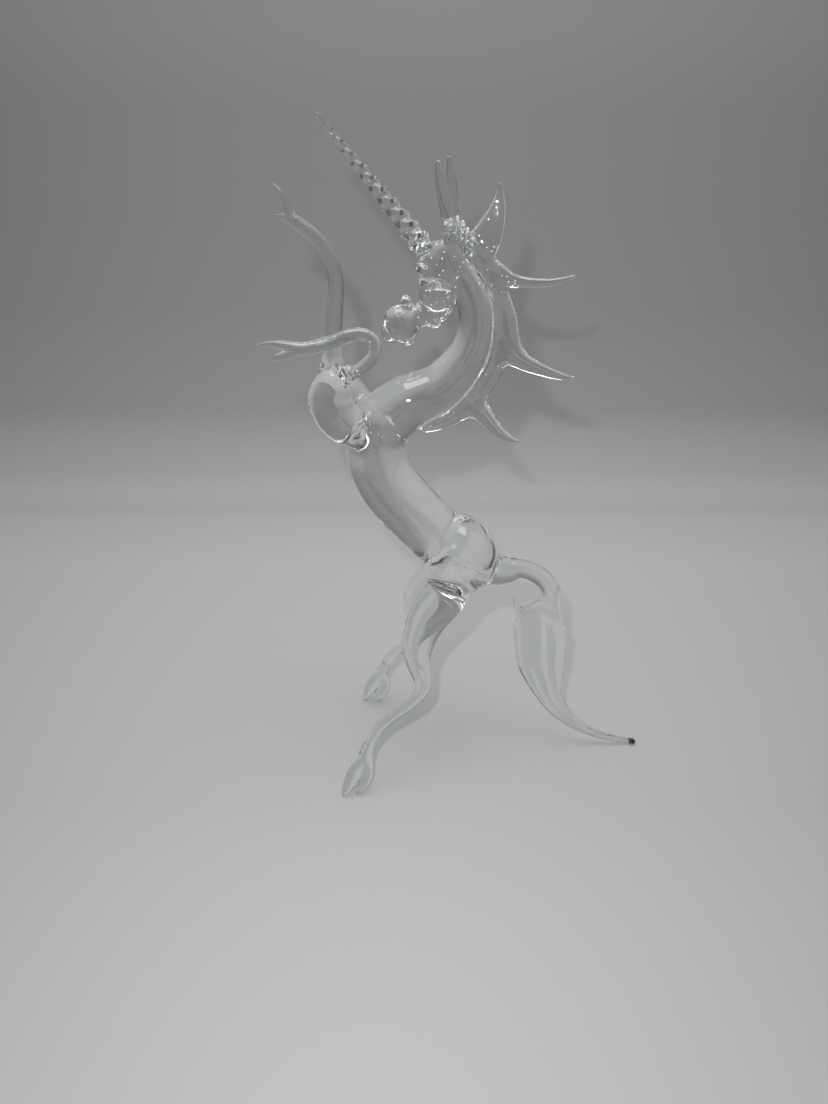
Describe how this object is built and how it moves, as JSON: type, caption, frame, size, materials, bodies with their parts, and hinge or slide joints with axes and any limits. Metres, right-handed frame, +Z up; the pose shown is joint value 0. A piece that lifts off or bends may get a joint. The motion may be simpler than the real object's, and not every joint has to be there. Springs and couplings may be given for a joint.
{
  "type": "rearing unicorn figurine",
  "caption": "Solid clear glass unicorn figurine, rearing on its hind hooves and the tip of its long tail, with a twisted horn, pulled mane locks and cloven hooves.",
  "frame": {"origin": "middle of the bounding box, on the floor under the figure", "axes": "+Z up; -X the way the face and the raised forelegs point; -Y the animal's left side"},
  "size_m": [0.1154, 0.0536, 0.1907],
  "materials": {
    "clear_glass": "gloss",
    "dark_glass": "gloss"
  },
  "bodies": {
    "root": {"rump": "clear_glass", "body_and_neck": "clear_glass", "head": "clear_glass", "muzzle": "clear_glass", "chin": "clear_glass", "nostril_left": "clear_glass", "nostril_right": "clear_glass", "eye_left": "clear_glass", "eye_right": "clear_glass", "cheek_left": "clear_glass", "cheek_right": "clear_glass", "ear_left": "clear_glass", "ear_right": "clear_glass", "horn": "clear_glass", "forelock": "clear_glass", "mane_strip": "clear_glass", "mane_lock_1": "clear_glass", "mane_lock_2": "clear_glass", "mane_lock_3": "clear_glass", "mane_lock_4": "clear_glass", "shoulder_left": "clear_glass", "shoulder_right": "clear_glass", "foreleg_left": "clear_glass", "foreleg_right": "clear_glass", "fore_hoof_left": "clear_glass", "fore_hoof_right": "clear_glass", "hind_leg_left": "clear_glass", "hind_leg_right": "clear_glass", "hind_hoof_left": "clear_glass", "hind_hoof_right": "clear_glass", "tail_root": "clear_glass", "tail_plume": "clear_glass", "tail_bead": "dark_glass"}
  },
  "joints": []
}
